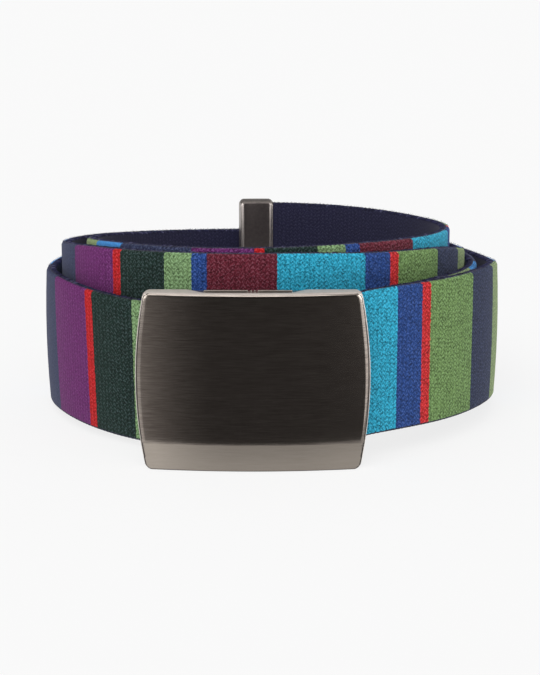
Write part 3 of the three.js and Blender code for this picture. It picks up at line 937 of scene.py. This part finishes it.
def make_studio():
    """A pale floor and backdrop under soft light, with cards and soft boxes that only the metal reflects."""
    scene = bpy.context.scene
    scene.view_settings.view_transform = "Standard"
    floor = plane("pale_floor", FLOOR_SIZE, FLOOR_SIZE)
    floor.data.materials.append(glowing_paper("pale_paper", FLOOR_GREY, FLOOR_GLOW, 0.9))

    backdrop = ring_wall("pale_backdrop", BACKDROP_RADIUS, BACKDROP_HEIGHT)
    backdrop.data.materials.append(glowing_paper("lit_backdrop_paper", 0.0, BACKDROP_GLOW, 0.5))
    backdrop.visible_diffuse = backdrop.visible_glossy = backdrop.visible_shadow = False

    graded = {"dark": dark_card(), "foot": foot_card()}
    for name, kind, low, high in CARDS:
        points = [(low[0], *low[1:]), (high[0], *low[1:]), (high[0], *high[1:]), (low[0], *high[1:])]
        reflected_only(mesh_piece(name, points, [(0, 1, 2, 3)], smooth=False), graded[kind])
    for name, place, size, turn, strength in LIGHT_STRIPS:
        strip = plane(name, *size)
        strip.location = Vector(place) * MM
        strip.rotation_euler = [math.radians(a) for a in turn]
        reflected_only(strip, soft_box_cloth(strength))

    world = bpy.data.worlds.new("studio")
    scene.world = world
    world.use_nodes = True
    back = world.node_tree.nodes["Background"]
    back.inputs["Color"].default_value = (1, 1, 1, 1)
    back.inputs["Strength"].default_value = SKY_STRENGTH

    lamp = bpy.data.lights.new("large_softbox", "SUN")
    lamp.energy = SUN_STRENGTH
    lamp.angle = math.radians(SUN_SPREAD_DEG)
    light = bpy.data.objects.new("large_softbox", lamp)
    light.rotation_euler = [math.radians(a) for a in SUN_TURN_DEG]
    scene.collection.objects.link(light)

    camera = bpy.data.objects.new("camera", bpy.data.cameras.new("camera"))
    camera.data.lens = CAMERA_LENS_MM
    camera.location = Vector(CAMERA_PLACE_MM) * MM
    camera.rotation_euler = (math.radians(90 - CAMERA_DOWN_DEG), 0, 0)
    scene.collection.objects.link(camera)
    scene.camera = camera


def glowing_paper(name, grey, strength, roughness):
    """Matt paper that gives some light itself, so that it looks even and pale, with soft shadows."""
    material, _, shader = new_material(name)
    shader.inputs["Base Color"].default_value = linear("ffffff", grey)
    shader.inputs["Roughness"].default_value = roughness
    shader.inputs["Specular IOR Level"].default_value = 0.0
    glow(shader, strength)
    return material


def soft_box_cloth(strength):
    """A bright soft box, seen as a highlight along the metal's rolled edges."""
    material, _, shader = new_material("soft_box_cloth")
    glow(shader, strength)
    return material


def seen_on_plate(tree, place):
    """Where across the convex plate a place on a card is reflected, in metres from the plate's middle."""
    axes = put(tree, "ShaderNodeSeparateXYZ", {"Vector": place}).outputs
    ahead = math_node(tree, "SUBTRACT", math_node(tree, "MULTIPLY", axes["Y"], -1.0), PLATE_TO_MIDDLE)
    opening = math_node(tree, "MULTIPLY_ADD", ahead, PLATE_SPREAD, 1.0)
    return math_node(tree, "SUBTRACT", math_node(tree, "DIVIDE", axes["X"], opening), BUCKLE_X * MM)


def between(tree, value, ends_mm, to_low=0.0, to_high=1.0):
    """Stretches the values between two places, given in millimetres, to a new range."""
    return spread(tree, value, ends_mm[0] * MM, ends_mm[1] * MM, to_low, to_high)


def squared(tree, value):
    return math_node(tree, "MULTIPLY", value, value)


def dark_card():
    """Card that makes the plate dark. It is lighter in a fan that opens to the left, so that the plate's
    reflection of it fades evenly from the plate's left edge. It is lightest beside that fan and beside the
    plate's right edge, where only the rolled edges see it."""
    material, tree, shader = new_material("graded_dark_card")
    place = put(tree, "ShaderNodeTexCoord").outputs["Object"]
    on_plate = seen_on_plate(tree, place)
    fading = mix_colour(tree, squared(tree, between(tree, on_plate, LEFT_FADE)), "151312", "c0bcbb")
    away = put(tree, "ShaderNodeVectorMath", {0: place, 1: (PLATE_LEFT_EDGE, -PLATE_TO_MIDDLE, 0.0)},
               operation="DISTANCE").outputs["Value"]
    lit = math_node(tree, "MAXIMUM", between(tree, away, BESIDE_DARKENS, 1.0, 0.1),
                    between(tree, away, BESIDE_LIGHTENS, 0.0, 0.8))
    left = math_node(tree, "MULTIPLY", between(tree, on_plate, LEFT_BESIDE), lit)
    right = between(tree, on_plate, RIGHT_BESIDE)
    beside = math_node(tree, "ADD", left, right)
    tree.links.new(mix_colour(tree, beside, fading, "ffffff"), shader.inputs["Base Color"])
    shader.inputs["Roughness"].default_value = 0.9
    glow(shader, math_node(tree, "MULTIPLY", right, RIGHT_GLOW))
    return material


def foot_card():
    """Card on the floor close to the plate, which the foot band reflects: light to the left, less so to the
    right, darkest in the middle, and lighter towards the foot."""
    material, tree, shader = new_material("graded_foot_card")
    place = put(tree, "ShaderNodeTexCoord").outputs["Object"]
    on_plate = seen_on_plate(tree, place)
    left = squared(tree, between(tree, on_plate, FOOT_LEFT_FADE))
    ahead = put(tree, "ShaderNodeSeparateXYZ", {"Vector": place}).outputs["Y"]
    base = math_node(tree, "ADD", between(tree, ahead, FOOT_CLOSE, 0.0, FOOT_CLOSE_GLOW),
                     between(tree, on_plate, FOOT_RIGHT_FADE, *FOOT_GLOWS))
    level = math_node(tree, "MULTIPLY_ADD", left, math_node(tree, "SUBTRACT", FOOT_LEFT_GLOW, base), base)
    shader.inputs["Base Color"].default_value = linear("000000")
    shader.inputs["Specular IOR Level"].default_value = 0.0
    glow(shader, level)
    return material


def reflected_only(card, material):
    """Sets up a card that nothing but reflections sees."""
    card.data.materials.append(material)
    card.visible_camera = card.visible_diffuse = card.visible_shadow = False


def ring_wall(name, radius, height, sides=64):
    """An upright wall all round the floor, open at the top."""
    turns = np.radians(np.arange(sides) * 360 / sides)
    ring = np.stack([radius * np.cos(turns), radius * np.sin(turns), 0 * turns], -1)
    points = np.concatenate([ring, ring + (0, 0, height)])
    faces = [[i, sides + i, sides + (i + 1) % sides, (i + 1) % sides] for i in range(sides)]
    return mesh_piece(name, points, faces, smooth=False)


def plane(name, width, depth):
    """A level rectangle round the origin."""
    w, d = width / 2, depth / 2
    points = [(-w, -d, 0), (w, -d, 0), (w, d, 0), (-w, d, 0)]
    return mesh_piece(name, points, [(0, 1, 2, 3)], smooth=False)


main()
